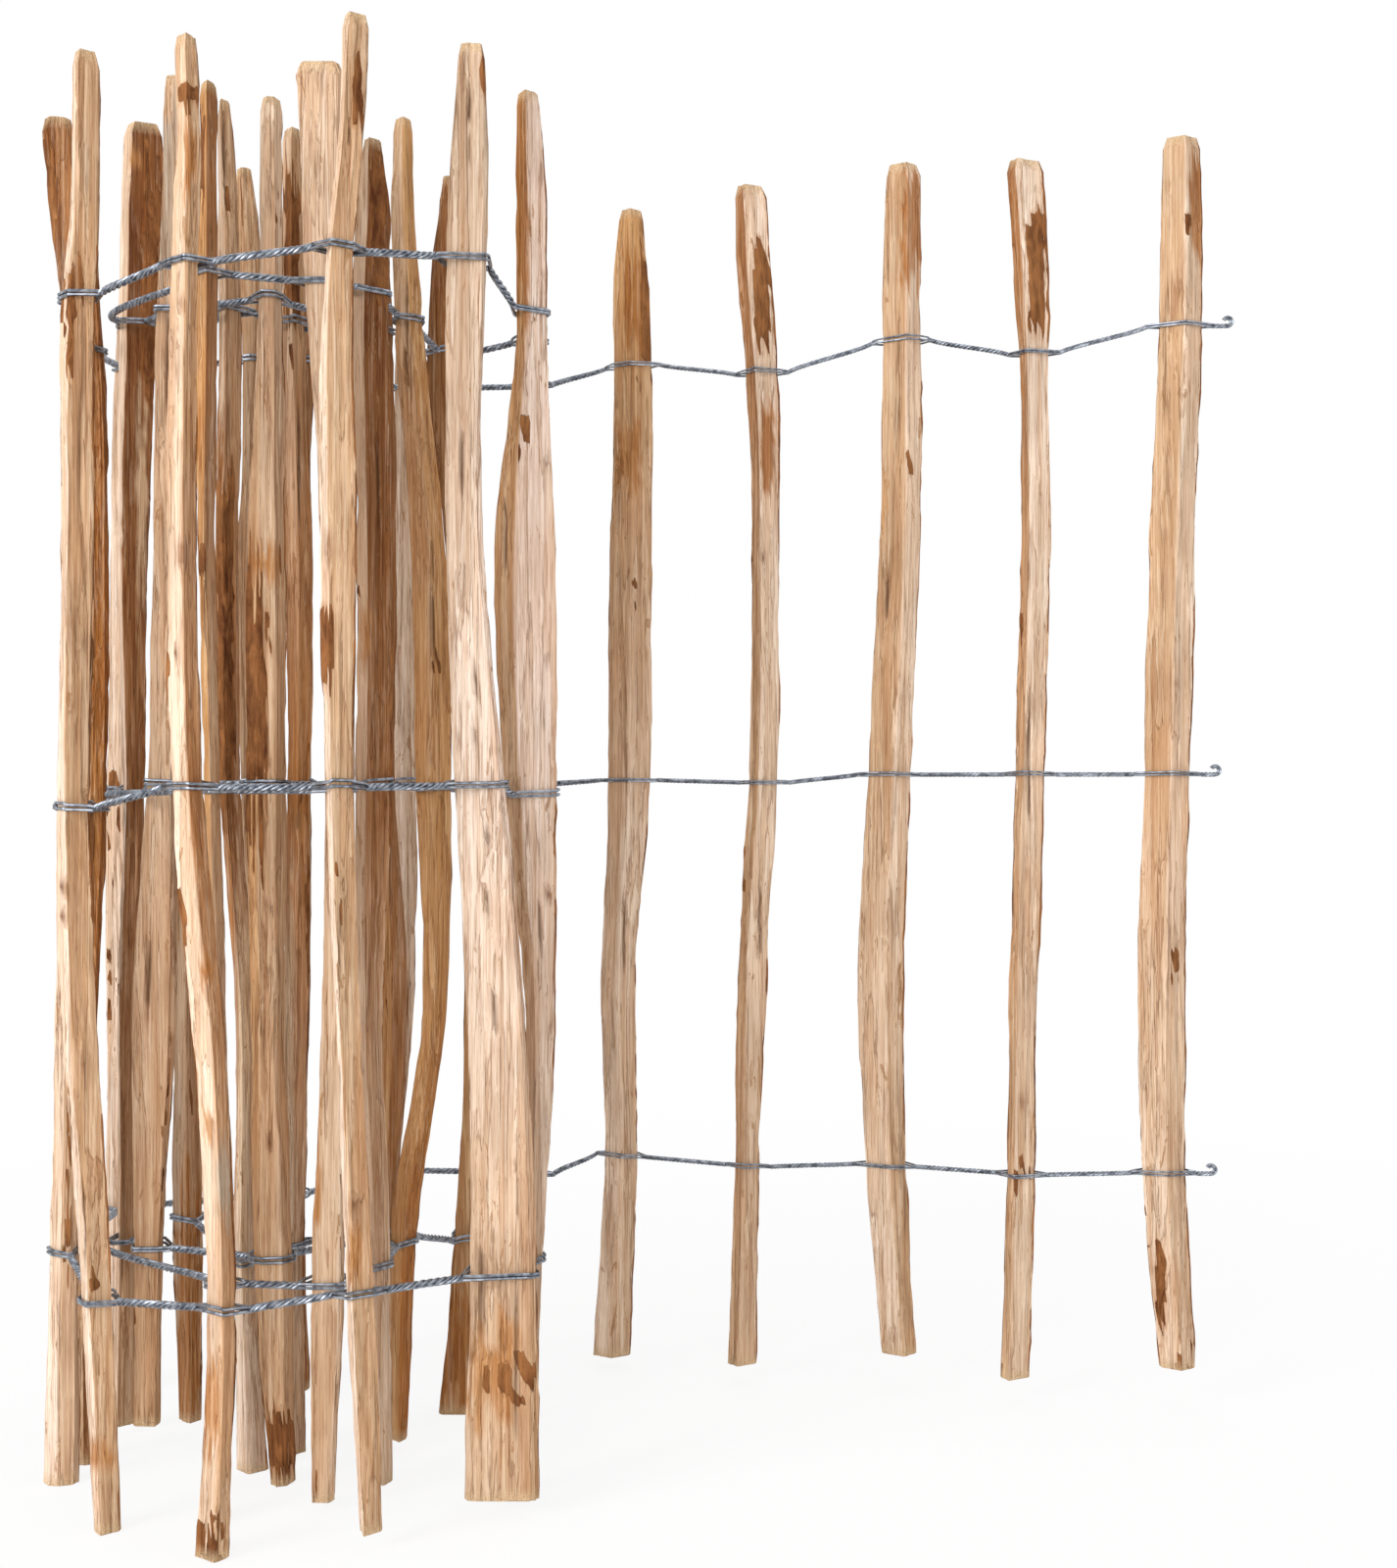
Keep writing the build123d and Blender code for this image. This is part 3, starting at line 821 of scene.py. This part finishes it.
class Loop:
    """Where the strands of one row part round one stake, seen from above."""

    def __init__(self, name, section, height, angle_in, angle_out):
        self.height = height
        self.angle_in = angle_in
        self.angle_out = angle_out
        around = spread_out(hull(section), WIRE_CLEARANCE + STRAND_RADIUS)
        reached = spread_out(hull(section), WIRE_CLEARANCE + 2 * STRAND_RADIUS)
        self.tip_in = self.tip(section, reached, angle_in)
        self.tip_out = self.tip(section, reached, angle_out)
        random = np.random.default_rng(int(name[-2:]) * 11 + round(height * 10))
        self.rise = {side: random.uniform(LOWEST_RISE, HIGHEST_RISE) for side in (1, -1)}
        self.sides = {}
        for side in (1, -1):
            start = self.tip_in + left_of(-unit(angle_in)) * ROPE_HALF_WIDTH * side
            end = self.tip_out + left_of(unit(angle_out)) * ROPE_HALF_WIDTH * side
            outline = hull(around + [start, end])
            first = nearest(outline, start)
            outline = outline[first:] + outline[:first]
            last = nearest(outline, end)
            # Travelling with the stake on the right, the left strands go round it clockwise
            self.sides[side] = outline[:last + 1] if side < 0 else [outline[0]] + outline[:last - 1:-1]

    def tip(self, section, reached, angle):
        """Where the strands meet on one side of the stake."""
        centre = box_centre(section)
        reach = max((p - centre) @ unit(angle) for p in reached) + TIP_REACH
        return centre + unit(angle) * reach

    def strand(self, quarter, thick):
        """The way of one strand round the stake, arched a little up or down."""
        side, level = corner_of(quarter)
        chain = rounded(self.sides[side])
        level_here = level * PAIR_HALF_HEIGHT * thick
        rise = self.rise[side] * (1.0 if level > 0 else LOWER_STRAND_RISE)
        points = []
        for number, p in enumerate(chain[1:-1], 1):
            arch = math.sin(math.pi * number / (len(chain) - 1)) ** 0.7
            points.append((*p, self.height + level_here + rise * arch, thick))
        return points


def thickness(place):
    """How thick the strands are by a stake: thinner along the run than round the roll."""
    return RUN_THICKNESS if place < RUN_STAKES else 1.0


def bend(start, end, angle_start, angle_end, share):
    """A point of the rope between two tips, and its heading."""
    handle = np.hypot(*(end - start)) * BEND_SHARE
    route = [start, start + unit(angle_start) * handle, end - unit(angle_end) * handle, end]
    rest = 1 - share
    weights = (rest ** 3, 3 * rest ** 2 * share, 3 * rest * share ** 2, share ** 3)
    slopes = (-rest ** 2, rest ** 2 - 2 * rest * share, 2 * rest * share - share ** 2, share ** 2)
    point = sum(w * p for w, p in zip(weights, route))
    ahead = sum(w * p for w, p in zip(slopes, route))
    return point, ahead / np.hypot(*ahead)


def corner_of(quarter):
    """The side and the level of a strand in the rope, a quarter turn at a time."""
    return ((1, 1), (1, -1), (-1, -1), (-1, 1))[quarter % 4]


def twist(start, end, low, high, angle_start, angle_end, quarter, thick):
    """The path of one strand through a rope with its radius, and the quarter where it ends."""
    length = math.dist((*start, low), (*end, high))
    quarters = max(1, round(4 * length / (ROPE_TURN * thick[0])))
    steps = max(3, round(length / (POINT_STEP * thick[0])))
    side, level = corner_of(quarter)
    first = math.degrees(math.atan2(level, side))
    points = []
    for step in range(steps + 1):
        share = step / steps
        centre, ahead = bend(start, end, angle_start, angle_end, share)
        roll = first - 90 * quarters * share
        here = thick[0] + (thick[1] - thick[0]) * share
        across, up = unit(roll) * math.sqrt(2) * here
        plan = centre + left_of(ahead) * across * ROPE_HALF_WIDTH
        points.append((*plan, low + (high - low) * share + up * PAIR_HALF_HEIGHT, here))
    return points, quarter + quarters


def hook(end, height, angle, quarter, thick):
    """One strand of the small hook, bent up and back, that ends a row, from its tip to the rope."""
    side, level = corner_of(quarter)
    ahead = unit(angle)
    # The rope sets out the other way, so its left is the hook's right
    across = -left_of(ahead) * side * ROPE_HALF_WIDTH * thick
    radius = HOOK_RADIUS - level * PAIR_HALF_HEIGHT * thick
    points = []
    for turn in range(HOOK_TURN, 0, -HOOK_STEP):
        along, up = unit(turn - 90) * radius
        points.append((*(end + across + ahead * along), height + HOOK_RADIUS + up, thick))
    return points


def rounded(points):
    """Cuts the corners of a strand's path twice, with its ends kept."""
    for _ in range(2):
        cut = [points[0]]
        for a, b in zip(points, points[1:]):
            cut += [a * 0.75 + b * 0.25, a * 0.25 + b * 0.75]
        points = cut + [points[-1]]
    return points


def row_loops(row, sections):
    """The loops of a row, from the free end to the heart of the roll."""
    station = ROW_STATIONS[row]
    rings = [sections[name][1][station] for name in STAKE_NAMES]
    heights = [sections[name][0][station] for name in STAKE_NAMES]
    centres = [box_centre(ring) for ring in rings]
    loops = []
    for place, name in enumerate(STAKE_NAMES):
        before = heading(centres[place], centres[place - 1]) if place else 0.0
        last = place + 1 == len(STAKE_NAMES)
        after = 180.0 if last else heading(centres[place], centres[place + 1])
        loops.append(Loop(name, rings[place], heights[place], HEADING_IN.get(name, before),
                          HEADING_OUT.get(name, after)))
    return loops


def strand_path(loops, quarter):
    """The path of one strand of a row with its radius, from the hook at the free end to the last tail."""
    first = loops[0]
    start = first.tip_in + unit(first.angle_in) * TAIL_LENGTH
    inward = first.angle_in + 180
    path = hook(start, first.height, first.angle_in, quarter, thickness(0))
    tail, turned = twist(start, first.tip_in, first.height, first.height, inward, inward, quarter,
                         (thickness(0), thickness(0)))
    path += tail
    for place, (loop, following) in enumerate(zip(loops, loops[1:] + [None])):
        thick = thickness(place)
        path += loop.strand(turned, thick)
        if following:
            rope, turned = twist(loop.tip_out, following.tip_in, loop.height, following.height,
                                 loop.angle_out, following.angle_in + 180, turned,
                                 (thick, thickness(place + 1)))
        else:
            end = loop.tip_out + unit(loop.angle_out) * TAIL_LENGTH
            rope, turned = twist(loop.tip_out, end, loop.height, loop.height, loop.angle_out,
                                 loop.angle_out, turned, (thick, thick))
        path += rope
    return np.array(path)


def make_strand(name, path, metal, row_name):
    """A round wire along a path, as a mesh with closed ends."""
    curve = bpy.data.curves.new(name, "CURVE")
    curve.dimensions = "3D"
    spline = curve.splines.new("POLY")
    spline.points.add(len(path) - 1)
    spline.points.foreach_set("co", np.column_stack([path[:, :3], np.ones(len(path))]).ravel())
    spline.points.foreach_set("radius", path[:, 3])
    curve.bevel_depth = STRAND_RADIUS
    curve.bevel_resolution = 1
    curve.use_fill_caps = True
    piece = bpy.data.objects.new(name, curve)
    bpy.context.collection.objects.link(piece)
    bpy.ops.object.select_all(action="DESELECT")
    bpy.context.view_layer.objects.active = piece
    piece.select_set(True)
    bpy.ops.object.convert(target="MESH")
    piece = bpy.context.object
    dress(piece, metal, 50)
    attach(piece, "root")
    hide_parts(row_name)


# The fence

wood = split_wood()
metal = galvanised_wire()
template = stake_template()
sections = {name: make_stake(name, template, wood) for name in STAKE_NAMES}
bpy.data.objects.remove(template)
for row, row_name in enumerate(ROW_NAMES):
    loops = row_loops(row, sections)
    for quarter in range(4):
        make_strand(f"{row_name}_strand_{quarter + 1}", strand_path(loops, quarter), metal, row_name)


# Studio: a white floor that keeps the shadows, soft lamps and the photograph's camera

def studio_floor():
    """A matt floor that looks white to the camera and in the wires, and wholly white away from the fence."""
    bpy.ops.object.select_all(action="DESELECT")
    bpy.ops.mesh.primitive_plane_add(size=FLOOR_SIZE)
    floor = bpy.context.object
    floor.name = "studio_floor"
    tree = Tree("studio_floor")
    matt = tree.node("ShaderNodeBsdfDiffuse", {}, {"Color": (0.92, 0.92, 0.92, 1)})
    white = tree.node("ShaderNodeEmission", {}, {"Color": (1, 1, 1, 1), "Strength": 1.0})
    place = tree.node("ShaderNodeTexCoord", output=3)
    away = tree.node("ShaderNodeVectorMath", {"operation": "LENGTH"}, [place], output=1)
    seen = tree.node("ShaderNodeLightPath", output=0)
    mirrored = tree.node("ShaderNodeLightPath", output=3)
    faded = tree.ramp(away * FLOOR_FADE, (0.12, FLOOR_WHITE), (0.55, 1.0))
    shown = seen.math("MAXIMUM", seen, mirrored) * faded
    floor.data.materials.append(tree.finish(tree.node("ShaderNodeMixShader", {}, [shown, matt, white])))


def lamp(name, place, size, power):
    data = bpy.data.lights.new(name, "AREA")
    data.shape = "DISK"
    data.size = size
    data.energy = power
    made = bpy.data.objects.new(name, data)
    made.location = place
    made.rotation_mode = "QUATERNION"
    made.rotation_quaternion = (Vector(AIM) - Vector(place)).to_track_quat("-Z", "Y")
    bpy.context.collection.objects.link(made)


def studio_world():
    """Even light all round, that the camera and the wires see as white."""
    world = bpy.data.worlds.new("studio")
    bpy.context.scene.world = world
    world.use_nodes = True
    nodes = world.node_tree.nodes
    links = world.node_tree.links
    nodes.clear()
    rays = nodes.new("ShaderNodeLightPath")
    seen = nodes.new("ShaderNodeMath")
    seen.operation = "MAXIMUM"
    links.new(rays.outputs["Is Camera Ray"], seen.inputs[0])
    links.new(rays.outputs["Is Glossy Ray"], seen.inputs[1])
    mix = nodes.new("ShaderNodeMixShader")
    links.new(seen.outputs[0], mix.inputs["Fac"])
    for place, strength in ((1, WORLD_LIGHT), (2, 1.0)):
        background = nodes.new("ShaderNodeBackground")
        background.inputs["Color"].default_value = (1, 1, 1, 1)
        background.inputs["Strength"].default_value = strength
        links.new(background.outputs[0], mix.inputs[place])
    out = nodes.new("ShaderNodeOutputWorld")
    links.new(mix.outputs[0], out.inputs["Surface"])


def photo_camera():
    data = bpy.data.cameras.new("photo_camera")
    camera = bpy.data.objects.new("photo_camera", data)
    camera.location = EYE
    camera.rotation_euler = (math.radians(90), 0, 0)
    data.sensor_width = SENSOR_WIDTH
    data.lens = FOCAL_PIXELS / PHOTO_HEIGHT * SENSOR_WIDTH
    bpy.context.collection.objects.link(camera)
    bpy.context.scene.camera = camera


studio_floor()
lamp("key_lamp", (-2.2, -2.1, 1.5), 1.5, 62)
lamp("front_lamp", (-0.2, -2.8, 0.8), 2.0, 33)
lamp("fill_lamp", (2.3, -1.2, 1.2), 1.8, 8)
lamp("top_lamp", (0.1, 0.2, 2.6), 1.8, 12)
studio_world()
photo_camera()
bpy.context.scene.view_settings.view_transform = "Standard"
